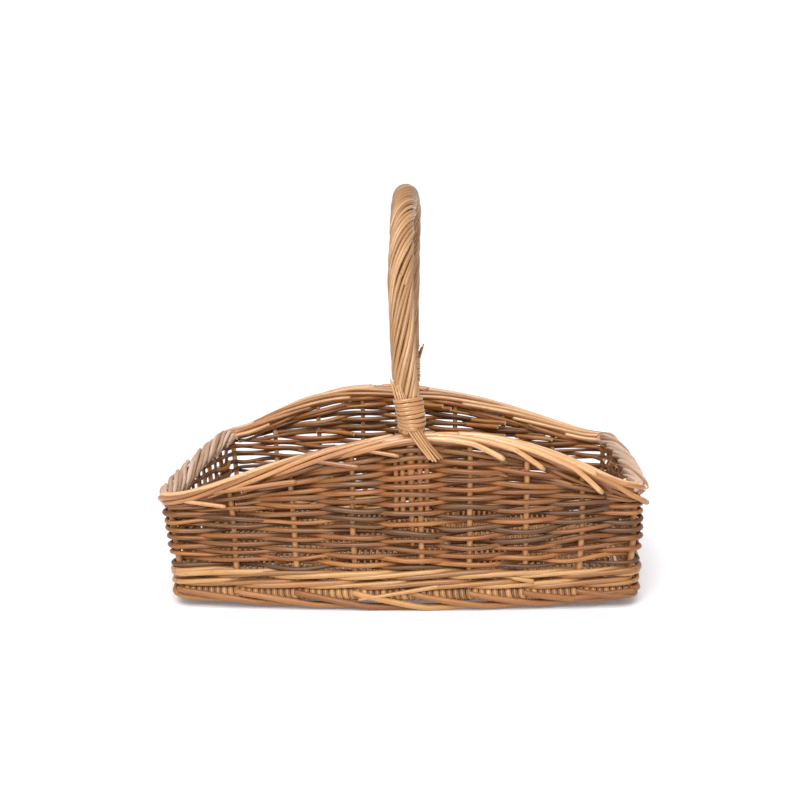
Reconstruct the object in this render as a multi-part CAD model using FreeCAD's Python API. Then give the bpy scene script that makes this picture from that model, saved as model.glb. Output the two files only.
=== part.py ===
"""A rectangular willow market basket with a fixed roped bow handle.

The basket stands on a plaited foot. Its floor is a mat woven over seven base sticks. Four flaring, slightly
bulged walls are woven round upright stakes: a pale wale at the bottom, then rows of thinner rods. The two long
walls rise to a hump at the handle, filled with short packing rows, and a thick border finishes every edge. The
handle is a bow rod driven down into both long walls, wound with twisted rods, and bound with a lashing at each
foot.

Units are millimetres. The origin is on the resting surface, under the middle of the basket. +X runs along the
basket, +Y across it, in the plane of the handle, and +Z is up.
"""

import FreeCAD
import Part

import math
import os

from FreeCAD import Vector

# ---- driving dimensions --------------------------------------------------------------------------------------
CORNER_HEIGHT = 131.0      # top of the border at the four corners and along both ends
HUMP_HEIGHT = 189.0        # top of the border at the middle of each long side
CREST_SHARE = 0.8          # how much of the way to the corner the crest's arc takes
HANDLE_HEIGHT = 445.0      # top of the handle

BASE_HALF_LENGTH = 244.0   # outer face of the woven wall, at the resting surface
BASE_HALF_WIDTH = 176.0
LENGTH_FLARE = 0.052       # how fast each wall leans outward, in mm per mm of height
WIDTH_FLARE = 0.11
SIDE_BULGE = 14.0          # how far the long walls bow out at their middle, at the resting surface
SIDE_BULGE_LOSS = 0.05     # how much of that is lost per mm of height
END_BULGE = 5.0
CORNER_RADIUS = 20.0

WALL = 13.0                # thickness of the woven wall, over its rods
PROUD = 4.0                # how far the foot, the wale and the border stand out of the wall
FOOT_DEPTH = 14.0
WALE_DEPTH = 15.0
BORDER_DEPTH = 19.0
BORDER_THICKNESS = 18.0    # measured upright

FLOOR_BOTTOM = 12.0
FOOT_TOP = 23.0            # also the top of the floor mat
WALE_TOP = 44.0
WEAVE_TOP = 107.0           # on the long walls, where the packing starts

STAKE_RADIUS = 2.75
CORNER_STAKE_RADIUS = 3.5
STAKE_START = 11.0
SIDE_STAKES = 7
END_STAKES = 5
CORNER_STAKE_INSET = 10.0  # from both outer faces of the wall to the corner stake's axis
STAKE_END_INSET = 8.0      # from the outer face of the wall next door, for spacing the stakes

STICK_RADIUS = 4.0
STICK_COUNT = 7
STICK_PITCH = 50.0
STICK_HALF_LENGTH = 225.0

BOW_RADIUS = 5.5
ROPING_RADIUS = 13.5
LASHING_RADIUS = 16.5
BOW_FOOT = 70.0            # how far down the wall the bow rod reaches
BINDING_START = 190.2      # where the roping and the lashings start, just above the border
LASHING_END = 221.0
MIDDLE_STAKE_SHIFT = 9.0   # the middle stake stands beside the bow rod
LINER_PLACES = (-15.5, -9.0, 15.5)
LINER_START = 76.0
LINER_END = 169.0

TAIL_LENGTH = 36.0
TAIL_WIDTH = 14.0
TAIL_THICKNESS = 2.5
TAIL_PLACE = (12.0, 170.6)  # X and Z of its middle
TAIL_LEAN = 38.0            # degrees from upright
TAIL_GAP = 0.3              # between the tail and the border

FIT_GAP = 0.2
FAR = 400.0                # beyond the basket on any side

UP = Vector(0, 0, 1)


# ---- the shape of the walls ----------------------------------------------------------------------------------
def half_length(z):
    return BASE_HALF_LENGTH + LENGTH_FLARE * z


def half_width(z):
    return BASE_HALF_WIDTH + WIDTH_FLARE * z


def side_bulge(z):
    return SIDE_BULGE - SIDE_BULGE_LOSS * z


def outline(z, inset):
    """The closed outline of the wall at height z, drawn in by inset: four bowed sides and four round corners."""
    a = half_length(z) - inset
    b = half_width(z) - inset
    r = CORNER_RADIUS - inset
    in_corner = r * (1 - math.sqrt(0.5))
    quarter = [
        (Vector(a - r, -b, z), Vector(a - in_corner, -b + in_corner, z), Vector(a, -b + r, z)),
        (Vector(a, b - r, z), Vector(a - in_corner, b - in_corner, z), Vector(a - r, b, z)),
        (Vector(-a + r, b, z), Vector(-a + in_corner, b - in_corner, z), Vector(-a, b - r, z)),
        (Vector(-a, -b + r, z), Vector(-a + in_corner, -b + in_corner, z), Vector(-a + r, -b, z)),
    ]
    middles = [
        Vector(a + END_BULGE, 0, z),
        Vector(0, b + side_bulge(z), z),
        Vector(-a - END_BULGE, 0, z),
        Vector(0, -b - side_bulge(z), z),
    ]
    edges = []
    for index, (start, middle, end) in enumerate(quarter):
        following = quarter[(index + 1) % 4][0]
        edges.append(Part.Arc(start, middle, end).toShape())
        edges.append(Part.Arc(end, middles[index], following).toShape())
    return Part.Wire(edges)


def block(bottom, top, inset):
    """Everything inside the wall's outline between two heights."""
    return Part.makeLoft([outline(bottom, inset), outline(top, inset)], True, True)


def ring(bottom, top, outer_inset, depth):
    """The band that follows all four walls between two heights."""
    return block(bottom, top, outer_inset).cut(block(bottom, top, outer_inset + depth))


def prism(points, low, high):
    """An upright prism on a polygon in plan."""
    corners = [Vector(x, y, low) for x, y in points]
    face = Part.Face(Part.makePolygon(corners + corners[:1]))
    return face.extrude(UP * (high - low))


def sector(side):
    """The part of space that belongs to one wall. Neighbouring walls meet on a 45 degree plane at the corner."""
    spine = (BASE_HALF_LENGTH - BASE_HALF_WIDTH) + (LENGTH_FLARE - WIDTH_FLARE) * CORNER_HEIGHT / 2
    plans = {
        "front": [(-spine, 0), (-spine - FAR, -FAR), (spine + FAR, -FAR), (spine, 0)],
        "back": [(-spine, 0), (spine, 0), (spine + FAR, FAR), (-spine - FAR, FAR)],
        "left": [(-spine, 0), (-spine - FAR, FAR), (-spine - FAR, -FAR)],
        "right": [(spine, 0), (spine + FAR, -FAR), (spine + FAR, FAR)],
    }
    return prism(plans[side], -1, FAR)


def top_line(x):
    """Height of the border's top line along a long wall.

    It is level at the corners and rises to the hump in two arcs that bend opposite ways: a short tight one from
    the corner, and a long easy one over the crest.
    """
    run = half_length(CORNER_HEIGHT)
    rise = HUMP_HEIGHT - CORNER_HEIGHT
    both = (run * run + rise * rise) / (2 * rise)
    crest = CREST_SHARE * both
    skirt = both - crest
    x = min(abs(x), run)
    if x < CREST_SHARE * run:
        return HUMP_HEIGHT - crest + math.sqrt(crest * crest - x * x)
    return CORNER_HEIGHT + skirt - math.sqrt(skirt * skirt - (run - x) ** 2)


def under_hump(drop):
    """The space between the top of the plain weave and the border's top line lowered by drop."""
    def point(x):
        return Vector(x, -FAR, top_line(x) - drop)

    run = half_length(CORNER_HEIGHT)
    turn = CREST_SHARE * run
    between = (run + turn) / 2
    floor_left = Vector(-FAR, -FAR, WEAVE_TOP)
    floor_right = Vector(FAR, -FAR, WEAVE_TOP)
    edges = [
        Part.makeLine(floor_left, point(-FAR)),
        Part.makeLine(point(-FAR), point(-run)),
        Part.Arc(point(-run), point(-between), point(-turn)).toShape(),
        Part.Arc(point(-turn), point(0), point(turn)).toShape(),
        Part.Arc(point(turn), point(between), point(run)).toShape(),
        Part.makeLine(point(run), point(FAR)),
        Part.makeLine(point(FAR), floor_right),
        Part.makeLine(floor_right, floor_left),
    ]
    return Part.Face(Part.Wire(edges)).extrude(Vector(0, 2 * FAR, 0))


# ---- upright rods --------------------------------------------------------------------------------------------
def rod(start, end, radius):
    return Part.makeCylinder(radius, (end - start).Length, start, end - start)


def side_place(z, share, sign, shift=0.0):
    """A point in the middle of a long wall. share runs from -1 to 1 between the corners."""
    x = share * (half_length(z) - STAKE_END_INSET) + shift
    y = half_width(z) - WALL / 2 + side_bulge(z) * (1 - share * share)
    return Vector(x, sign * y, z)


def end_place(z, share, sign):
    """A point in the middle of an end wall. share runs from -1 to 1 between the corners."""
    x = half_length(z) - WALL / 2 + END_BULGE * (1 - share * share)
    y = share * (half_width(z) - STAKE_END_INSET)
    return Vector(sign * x, y, z)


def corner_place(z, sign_x, sign_y):
    return Vector(
        sign_x * (half_length(z) - CORNER_STAKE_INSET),
        sign_y * (half_width(z) - CORNER_STAKE_INSET),
        z,
    )


def even_shares(count):
    return [2 * (i + 1) / (count + 1) - 1 for i in range(count)]


def stakes():
    """Every upright stake: its node name and its solid. Each one ends under the border."""
    made = {}
    for side, sign in (("front", -1), ("back", 1)):
        for number, share in enumerate(even_shares(SIDE_STAKES), 1):
            shift = MIDDLE_STAKE_SHIFT if share == 0 else 0.0
            top = top_line(share * half_length(CORNER_HEIGHT) + shift) - BORDER_THICKNESS - 1
            made[f"{side}_stake_{number}"] = rod(
                side_place(STAKE_START, share, sign, shift), side_place(top, share, sign, shift), STAKE_RADIUS
            )
    top = CORNER_HEIGHT - BORDER_THICKNESS - 1
    for side, sign in (("left", -1), ("right", 1)):
        for number, share in enumerate(even_shares(END_STAKES), 1):
            made[f"{side}_stake_{number}"] = rod(
                end_place(STAKE_START, share, sign), end_place(top, share, sign), STAKE_RADIUS
            )
        for edge, sign_y in (("front", -1), ("back", 1)):
            made[f"corner_stake_{edge}_{side}"] = rod(
                corner_place(STAKE_START, sign, sign_y), corner_place(top, sign, sign_y), CORNER_STAKE_RADIUS
            )
    return made


def liners():
    """Extra rods driven down beside the bow rod, three in each long wall."""
    return [
        rod(side_place(LINER_START, 0, sign, x), side_place(LINER_END, 0, sign, x), STAKE_RADIUS)
        for sign in (-1, 1)
        for x in LINER_PLACES
    ]


# ---- the handle ----------------------------------------------------------------------------------------------
class Bow:
    """The handle's centreline in the plane X = 0: straight down in each wall, and half an ellipse above it.

    The ellipse leaves each wall along the wall's own lean, which fixes how far its middle is above the border.
    """

    def __init__(self):
        self.foot = side_place(BOW_FOOT, 0, 1)
        self.shoulder = side_place(HUMP_HEIGHT, 0, 1)
        lean = (self.shoulder.y - self.foot.y) / (self.shoulder.z - self.foot.z)
        crown = HANDLE_HEIGHT - ROPING_RADIUS
        rise = crown - self.shoulder.z
        lift = lean * rise * rise / (self.shoulder.y + 2 * lean * rise)
        self.middle = self.shoulder.z + lift
        self.height = crown - self.middle
        self.reach = self.shoulder.y / math.sqrt(1 - (lift / self.height) ** 2)
        self.ellipse = Part.Ellipse(
            Vector(0, 0, crown), Vector(0, self.reach, self.middle), Vector(0, 0, self.middle)
        )

    def angle(self, z):
        """The ellipse's parameter at height z, counted from the crown."""
        return math.acos((z - self.middle) / self.height)

    def arch(self, z):
        """The part of the centreline above height z, as one edge."""
        return self.ellipse.toShape(-self.angle(z), self.angle(z))

    def leg(self, low, high, sign):
        """One side of the arch between two heights."""
        first, last = sorted((self.angle(low), self.angle(high)))
        edge = self.ellipse.toShape(first, last)
        if edge.CenterOfMass.y * sign < 0:
            edge = self.ellipse.toShape(-last, -first)
        return edge

    def sockets(self):
        """The straight holes that the bow rod is driven into, one in each long wall, open at the top."""
        mouth = self.shoulder + (self.shoulder - self.foot) * 0.05
        return [
            rod(Vector(0, sign * self.foot.y, self.foot.z), Vector(0, sign * mouth.y, mouth.z), BOW_RADIUS)
            for sign in (-1, 1)
        ]

    def whole(self):
        """The whole centreline, from foot to foot."""
        front_foot = Vector(0, -self.foot.y, self.foot.z)
        front_shoulder = Vector(0, -self.shoulder.y, self.shoulder.z)
        arch = self.arch(HUMP_HEIGHT)
        return [
            Part.makeLine(front_foot, front_shoulder),
            arch,
            Part.makeLine(self.shoulder, self.foot),
        ]


def pipe(edges, radius):
    """A round rod along a chain of edges."""
    wire = Part.Wire(Part.__sortEdges__(edges))
    first = wire.OrderedEdges[0]
    start = wire.OrderedVertexes[0].Point
    parameter = first.FirstParameter
    if (first.valueAt(parameter) - start).Length > 0.01:
        parameter = first.LastParameter
    circle = Part.Wire(Part.Circle(start, first.tangentAt(parameter), radius).toShape())
    return wire.makePipeShell([circle], True, False)


def sleeve(edges, outer_radius, inner_radius):
    """A round tube along a chain of edges."""
    return pipe(edges, outer_radius).cut(pipe(edges, inner_radius))


def tail(sign):
    """The flat bundle of strand ends that leaves the lashing and crosses the outside of the border."""
    x, z = TAIL_PLACE
    bar = Part.makeBox(TAIL_WIDTH, TAIL_THICKNESS, TAIL_LENGTH)
    bar.translate(Vector(-TAIL_WIDTH / 2, 0, -TAIL_LENGTH / 2))
    lean = math.degrees(math.atan(WIDTH_FLARE - SIDE_BULGE_LOSS))
    bar.rotate(Vector(0, 0, 0), Vector(0, 1, 0), -TAIL_LEAN)
    bar.rotate(Vector(0, 0, 0), Vector(1, 0, 0), -lean)
    reach = half_width(z) + side_bulge(z) + PROUD + TAIL_GAP
    bar.translate(Vector(x, reach, z))
    if sign < 0:
        bar = bar.mirror(Vector(0, 0, 0), Vector(0, 1, 0))
    return bar


# ---- assembly ------------------------------------------------------------------------------------------------
def floor_parts():
    """The woven mat, with the base sticks in it."""
    sticks = {}
    level = (FLOOR_BOTTOM + FOOT_TOP) / 2
    for number in range(STICK_COUNT):
        y = (number - (STICK_COUNT - 1) / 2) * STICK_PITCH
        sticks[f"base_stick_{number + 1}"] = rod(
            Vector(-STICK_HALF_LENGTH, y, level), Vector(STICK_HALF_LENGTH, y, level), STICK_RADIUS
        )
    mat = block(FLOOR_BOTTOM, FOOT_TOP, FOOT_DEPTH - PROUD + FIT_GAP)
    return {"base_weave": mat.cut(list(sticks.values())), **sticks}


def wall_parts(uprights):
    """The foot, wale, weave, packing and border of every wall, bored for the uprights that stand in them."""
    foot = ring(0, FOOT_TOP, -PROUD, FOOT_DEPTH)
    wale = ring(FOOT_TOP, WALE_TOP, -PROUD / 2, WALE_DEPTH)
    end_top = CORNER_HEIGHT - BORDER_THICKNESS
    end_weave = ring(WALE_TOP, end_top, 0, WALL)
    side_weave = ring(WALE_TOP, WEAVE_TOP, 0, WALL)
    packing = ring(WEAVE_TOP, HUMP_HEIGHT, 0, WALL).common(under_hump(BORDER_THICKNESS))
    side_border = ring(end_top - 1, HUMP_HEIGHT + 1, -PROUD, BORDER_DEPTH)
    side_border = side_border.common(under_hump(0)).cut(under_hump(BORDER_THICKNESS))
    end_border = ring(end_top, CORNER_HEIGHT, -PROUD, BORDER_DEPTH)

    made = {}
    for side in ("front", "back", "left", "right"):
        long_side = side in ("front", "back")
        bands = {
            "foot": foot,
            "wale": wale,
            "weave": side_weave if long_side else end_weave,
            "border": side_border if long_side else end_border,
        }
        if long_side:
            bands["packing"] = packing
        for band, shape in bands.items():
            made[f"{side}_{band}"] = shape.common(sector(side)).cut(uprights)
    return made


def handle_parts(bow):
    covered = [bow.arch(BINDING_START)]
    parts = {
        "handle_bow": pipe(bow.whole(), BOW_RADIUS),
        "handle_roping": sleeve(covered, ROPING_RADIUS, BOW_RADIUS),
        "handle_liners": Part.makeCompound(liners()),
        "handle_tails": Part.makeCompound([tail(-1), tail(1)]),
    }
    for side, sign in (("front", -1), ("back", 1)):
        leg = [bow.leg(BINDING_START, LASHING_END, sign)]
        parts[f"handle_lashing_{side}"] = sleeve(leg, LASHING_RADIUS, ROPING_RADIUS)
    return parts


def build():
    bow = Bow()
    uprights = stakes()
    bored_by = list(uprights.values()) + liners() + bow.sockets()
    return {**floor_parts(), **wall_parts(bored_by), **uprights, **handle_parts(bow)}


def main():
    os.makedirs("parts", exist_ok=True)
    for name, shape in build().items():
        shape.exportStep(os.path.join("parts", name + ".step"))
        solids = shape.Solids
        state = "ok" if shape.isValid() and all(s.isClosed() for s in solids) else "BROKEN"
        box = shape.BoundBox
        print(
            f"{name:26s} {len(solids)} solid(s) {state} {shape.Volume / 1000:9.2f} cm3"
            f"  x {box.XMin:.1f}..{box.XMax:.1f}  y {box.YMin:.1f}..{box.YMax:.1f}  z {box.ZMin:.1f}..{box.ZMax:.1f}"
        )


main()
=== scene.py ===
"""A woven willow market basket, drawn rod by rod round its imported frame.

Every rod, strand and skein is a tube carried along a path, worked out as whole arrays in millimetres.
A place on the walls is given by three numbers: u, counted in bays between stakes, round the basket
from the front left corner by the front, right, back and left; z, its height; and out, how far it lies
outside the middle of the wall.
"""

import math

import bpy
import numpy as np
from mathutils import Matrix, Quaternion, Vector


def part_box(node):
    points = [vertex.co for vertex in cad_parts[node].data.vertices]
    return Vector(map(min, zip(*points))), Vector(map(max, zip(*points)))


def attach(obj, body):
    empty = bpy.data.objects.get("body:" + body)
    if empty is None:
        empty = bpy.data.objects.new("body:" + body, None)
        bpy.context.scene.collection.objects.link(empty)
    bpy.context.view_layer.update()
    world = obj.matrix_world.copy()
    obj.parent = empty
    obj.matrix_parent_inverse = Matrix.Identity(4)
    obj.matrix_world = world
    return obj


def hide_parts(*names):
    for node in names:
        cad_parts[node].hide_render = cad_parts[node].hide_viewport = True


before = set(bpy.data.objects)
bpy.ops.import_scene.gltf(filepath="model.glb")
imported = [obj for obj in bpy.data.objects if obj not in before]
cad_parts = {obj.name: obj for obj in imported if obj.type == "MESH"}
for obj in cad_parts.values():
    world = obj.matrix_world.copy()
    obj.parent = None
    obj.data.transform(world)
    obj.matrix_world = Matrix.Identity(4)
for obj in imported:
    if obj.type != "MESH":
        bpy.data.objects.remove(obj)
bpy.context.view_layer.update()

MM = 0.001
rng = np.random.default_rng(29)


# ---- sizes, in millimetres -----------------------------------------------------------------------
def top(node):
    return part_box(node)[1][2] / MM


FOOT_TOP = top("front_foot")
WALE_TOP = top("front_wale")
END_TOP = top("left_weave")
CORNER_TOP = top("left_border")
HUMP_TOP = top("front_border")
CROWN_TOP = top("handle_roping")
BORDER_DEPTH = CORNER_TOP - END_TOP

CREST_SHARE = 0.8
BASE_HALF_LENGTH = 244.0
BASE_HALF_WIDTH = 176.0
LENGTH_FLARE = 0.052
WIDTH_FLARE = 0.11
SIDE_BULGE = 14.0
SIDE_BULGE_LOSS = 0.05
END_BULGE = 5.0
CORNER_RADIUS = 20.0
HALF_WALL = 6.5
STAKE_END_INSET = 8.0

LONG_BAYS = 8
END_BAYS = 6
BAYS = 2 * (LONG_BAYS + END_BAYS)
CORNERS = np.cumsum([0, LONG_BAYS, END_BAYS, LONG_BAYS, END_BAYS])
SIDES = ("front", "right", "back", "left")
BAY = 59.0                 # about how long one bay is
STEP = 1 / 20              # how closely a rod's path is drawn, in bays
CORE = 10                  # faces round a rod

STAKE_RADIUS = 3.2
CORNER_STAKE_RADIUS = 3.5
STAKE_START = 11.0
LINERS = (-15.5, -9.0, 15.5)
STAKE_BESIDE_BOW = 9.0
LINER_LOW, LINER_HIGH = 102.0, 170.0
LONG_CENTRES = {"front": LONG_BAYS // 2, "back": LONG_BAYS // 2 + BAYS // 2}

# how the hand-made basket strays from its pattern
ASKEW = 0.20               # bays that a long side's middle stakes are set to the right of its middle
TILT = 4.0                 # how much each corner stands above or below the pattern
HOLLOW = 7.0               # how much one shoulder of each hump falls short
FULLER = 3.5               # how much the other one stands up
SKIRT_LIFT = 2.5           # how much straighter than the pattern the humps run down to the corners
SKIRT_PLACE = 0.84         # where that is most, as a share of the way from the middle to the corner
SKIRT_SPREAD = 0.1
ROCKER = 8.5               # how far the foot's corners lift off the ground
LEFT_LEAN = 5.0            # how much further out than the pattern the left end stands at its top
RIGHT_BELLY = 3.0          # how much the right end bellies out halfway up
STRAY_START = 120.0        # how far from the middle both of those begin; they are full at twice that


# ---- the walls' shape ----------------------------------------------------------------------------
def half_length(z):
    return BASE_HALF_LENGTH + LENGTH_FLARE * z


def half_width(z):
    return BASE_HALF_WIDTH + WIDTH_FLARE * z


def side_bulge(z):
    return SIDE_BULGE - SIDE_BULGE_LOSS * z


PER_BAY = 40               # samples of the outline in each bay


def side_line(along, across, bulge, bays):
    """One side of the middle of the wall: a parabola between the corners, and an eighth of a circle
    at each end.
    """
    v = np.arange(bays * PER_BAY) / PER_BAY - bays / 2
    share = np.abs(v) / (bays / 2)
    straight = along - CORNER_RADIUS
    meet = straight / (along - STAKE_END_INSET)
    turn = np.clip((share - meet) / (1 - meet), 0, 1) * math.pi / 4
    radius = CORNER_RADIUS - HALF_WALL
    run = np.minimum(share * (along - STAKE_END_INSET), straight) + radius * np.sin(turn)
    bowed = bulge * np.clip(1 - (run / straight) ** 2, 0, 1)
    return np.sign(v) * run, across - CORNER_RADIUS + radius * np.cos(turn) + bowed


def outline(z):
    """The closed line in the middle of the wall at height z, smoothed a little where its curves meet.
    """
    long_run, long_reach = side_line(half_length(z), half_width(z), side_bulge(z), LONG_BAYS)
    end_run, end_reach = side_line(half_width(z), half_length(z), END_BULGE, END_BAYS)
    x = np.concatenate([long_run, end_reach, -long_run, -end_reach])
    y = np.concatenate([-long_reach, end_run, long_reach, -end_run])
    weights = np.hanning(11)[1:-1]
    reach = len(weights) // 2
    plan = np.stack([x, y], 1)
    return sum(w * np.roll(plan, k - reach, 0) for k, w in enumerate(weights)) / weights.sum()


LOW_OUTLINE = outline(0)
RISE_OUTLINE = (outline(100) - LOW_OUTLINE) / 100
ALONG_OUTLINE = np.roll(LOW_OUTLINE, -2, 0) - np.roll(LOW_OUTLINE, 2, 0)
OUT_OUTLINE = np.stack([ALONG_OUTLINE[:, 1], -ALONG_OUTLINE[:, 0]], 1)
OUT_OUTLINE /= np.linalg.norm(OUT_OUTLINE, axis=1, keepdims=True)


def from_middle(u):
    """Bays from the middle of the side that u is on, half that side's number of bays, and whether it
    is long.
    """
    place = np.asarray(u, float) % (BAYS / 2)
    long = place < LONG_BAYS
    half = np.where(long, LONG_BAYS, END_BAYS) / 2
    return place - np.where(long, half, LONG_BAYS + half), half, long


def around(u, table):
    """A table's rows at places u round the basket. On the long sides the middle is set ASKEW bays
    further on.
    """
    index = np.arange(len(table))
    away, half, long = from_middle(u)
    askew = ASKEW * np.where(long, 1 - (away / half) ** 2, 0)
    place = (np.asarray(u) + askew) * PER_BAY
    return np.stack([np.interp(place, index, column, period=len(table)) for column in table.T], -1)


def outward(u):
    """Unit vectors that point out of the wall."""
    plan = around(u, OUT_OUTLINE)
    return np.concatenate([plan, np.zeros_like(plan[..., :1])], -1)


def wall(u, z, out=0.0):
    """Points at bay u, height z and distance out from the middle of the wall.

    Each end strays from the pattern along x: the left one in proportion to its height, the right one
    as half a sine wave of it. The stray grows as the square of the distance beyond STRAY_START.
    """
    u, z, out = np.broadcast_arrays(np.asarray(u, float), z, out)
    plan = around(u, LOW_OUTLINE) + z[..., None] * around(u, RISE_OUTLINE)
    share = np.clip(z / CORNER_TOP, 0, 1)
    near = np.clip((np.abs(plan[..., 0]) - STRAY_START) / STRAY_START, 0, 1) ** 2
    stray = near * np.where(plan[..., 0] < 0, -LEFT_LEAN * share, RIGHT_BELLY * np.sin(math.pi * share))
    plan[..., 0] += stray
    return np.concatenate([plan + out[..., None] * around(u, OUT_OUTLINE), z[..., None]], -1)


def tilt(u):
    """How far the corners' heights stray: each long side climbs from low to high as u grows, and each
    end falls.
    """
    away, half, long = from_middle(u)
    return TILT * np.where(long, 1, -1) * away / half


def rocker(u):
    """How far the foot lifts: nothing in the middle of a long side, and from there as the 1.5th
    power.

    The middle of an end lifts four fifths as far as its corners, with a parabola between.
    """
    away, half, long = from_middle(u)
    share = np.abs(away) / half
    return ROCKER * np.where(long, share**1.5, 0.8 + 0.2 * share**2)


def top_line(u):
    """Height of the border's top: level on the ends, and humped on the long sides.

    Each half of a hump is two arcs that bend opposite ways. The hand-made basket's tilt is added,
    with half a sine wave for each shoulder and a low bump for each skirt.
    """
    run = half_length(CORNER_TOP)
    rise = HUMP_TOP - CORNER_TOP
    both = (run * run + rise * rise) / (2 * rise)
    crest = CREST_SHARE * both
    skirt = both - crest
    away, half, long = from_middle(u)
    x = np.where(long, np.abs(away) / half, 1) * run
    over = HUMP_TOP - crest + np.sqrt(crest**2 - np.minimum(x, CREST_SHARE * run) ** 2)
    under = CORNER_TOP + skirt - np.sqrt(skirt**2 - np.minimum(run - x, (1 - CREST_SHARE) * run) ** 2)
    share = away / half
    shoulder = np.where(share < 0, HOLLOW, FULLER) * np.sin(math.pi * share)
    skirted = SKIRT_LIFT * np.exp(-(((np.abs(share) - SKIRT_PLACE) / SKIRT_SPREAD) ** 2))
    stray = np.where(long, shoulder + skirted, 0)
    return np.where(x < CREST_SHARE * run, over, under) + stray + tilt(u)


# ---- rods ----------------------------------------------------------------------------------------
def unit(vectors):
    return vectors / np.linalg.norm(vectors, axis=-1, keepdims=True)


def places(first, last):
    """Places round the basket from first to last, STEP bays apart."""
    return np.arange(round(first / STEP), round(last / STEP) + 1) * STEP


def way_along(u):
    """The share of the way from the first place to the last."""
    return (u - u[0]) / (u[-1] - u[0])


def length_along(points):
    """Distance along a path, from its start."""
    return np.concatenate([[0.0], np.cumsum(np.linalg.norm(np.diff(points, axis=0), axis=1))])


def wander(s, size, wave):
    """A slow random drift along s: the mean of three sine waves of random phase, with wavelengths
    near wave.
    """
    waves = wave * rng.uniform(0.6, 1.7, 3)
    phases = rng.uniform(0, 2 * math.pi, 3)
    return size * np.sin(2 * math.pi * np.asarray(s)[..., None] / waves + phases).mean(-1) * 1.5


def joints(s, size):
    """The swellings of a rod where its buds grew: narrow bell curves, 25 to 60 mm apart."""
    places = np.cumsum(rng.uniform(25, 60, int(s[-1] / 30) + 2))
    return 1 + size * np.exp(-(((s[:, None] - places) / 2.2) ** 2)).sum(1)


def rod(points, radius, facing, tone=None, sides=CORE, slant=(0, 0), swell=0.05):
    """A tube along a path: rings of points round it, the grain's place for each point, and the rod's
    tone.

    A ring is a circle, or an ellipse where radius is a pair: along facing and across it. slant tilts
    each cut end.
    """
    s = length_along(points)
    forward = unit(np.gradient(points, axis=0))
    facing = np.broadcast_to(facing, points.shape)
    side = unit(facing - (facing * forward).sum(1, keepdims=True) * forward)
    over = np.cross(forward, side)
    angle = np.arange(sides) * 2 * math.pi / sides
    thick, wide = radius if isinstance(radius, tuple) else (radius, radius)
    lumps = joints(s, swell)
    thick = np.broadcast_to(thick, s.shape) * lumps
    wide = np.broadcast_to(wide, s.shape) * lumps
    across = thick[:, None] * np.cos(angle), wide[:, None] * np.sin(angle)
    rings = points[:, None] + across[0][..., None] * side[:, None] + across[1][..., None] * over[:, None]
    for end, cut in zip((0, -1), slant):
        rings[end] += np.outer(across[0][end] * cut, forward[end])
    seed = rng.uniform(0, 1)
    start = rng.uniform(0, 5)
    grain = np.stack(np.broadcast_arrays(np.cos(angle), np.sin(angle), (s * MM + start)[:, None]), -1)
    tone = rng.uniform(0, 1) if tone is None else tone
    return rings, grain, (tone, seed, 0.0)


def share_out(shared, whole, u):
    """Cuts a rod that runs round the basket at the corners, and adds each stretch to its side's list.
    """
    rings, grain, tint = whole
    first_turn = math.floor(u[0] / BAYS)
    for turn in range(first_turn, first_turn + 3):
        for number, side in enumerate(SIDES):
            low, high = CORNERS[number] + turn * BAYS, CORNERS[number + 1] + turn * BAYS
            inside = np.flatnonzero((u > low - STEP / 4) & (u < high + STEP / 4))
            if len(inside) > 2:
                stretch = slice(inside[0], inside[-1] + 1)
                shared[side].append((rings[stretch], grain[stretch], tint))


# ---- pieces --------------------------------------------------------------------------------------
def skin(rods):
    """One mesh from many rods: points, four-sided faces, which of them are smooth, grain and tint.

    Each end is closed by faces round a point in its middle, whose grain marks it as pith.
    """
    points, faces, smooth, grains, tints = [], [], [], [], []
    count = 0
    for rings, grain, tint in rods:
        rows, sides = rings.shape[:2]
        index = count + np.arange(rows * sides).reshape(rows, sides)
        beside = np.roll(index, -1, 1)
        round_faces = np.stack([index[:-1], beside[:-1], beside[1:], index[1:]], -1).reshape(-1, 4)
        first = np.full(sides // 2, count + rows * sides)
        one, two, three = index[:, ::2], beside[:, ::2], np.roll(index, -2, 1)[:, ::2]
        start_faces = np.stack([first, three[0], two[0], one[0]], -1)
        end_faces = np.stack([first + 1, one[-1], two[-1], three[-1]], -1)
        ends = np.stack([rings[0].mean(0), rings[-1].mean(0)])
        pith = grain[[0, -1], 0] * (0, 0, 1)
        points += [rings.reshape(-1, 3), ends]
        grains += [grain.reshape(-1, 3), pith]
        tints.append(np.broadcast_to(tint, (rows * sides + 2, 3)))
        faces += [round_faces, start_faces, end_faces]
        smooth += [np.ones(len(round_faces), bool), np.zeros(sides, bool)]
        count += rows * sides + 2
    return [np.concatenate(part) for part in (points, faces, smooth, grains, tints)]


def piece(name, rods, finish, slot, *nodes):
    """Makes one piece of rods with one finish. It rides on the basket and stands for the named nodes.
    """
    points, faces, smooth, grain, tint = skin(rods)
    mesh = bpy.data.meshes.new(name)
    mesh.vertices.add(len(points))
    mesh.vertices.foreach_set("co", (points * MM).ravel())
    mesh.loops.add(faces.size)
    mesh.loops.foreach_set("vertex_index", faces.ravel())
    mesh.polygons.add(len(faces))
    mesh.polygons.foreach_set("loop_start", np.arange(0, faces.size, 4))
    mesh.polygons.foreach_set("use_smooth", smooth)
    for label, values in (("grain", grain), ("tint", tint)):
        mesh.attributes.new(label, "FLOAT_VECTOR", "POINT").data.foreach_set("vector", values.ravel())
    mesh.update(calc_edges=True)
    mesh.materials.append(finish)
    made = bpy.data.objects.new(name, mesh)
    bpy.context.scene.collection.objects.link(made)
    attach(made, "root")
    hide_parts(*nodes)
    return made


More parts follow.
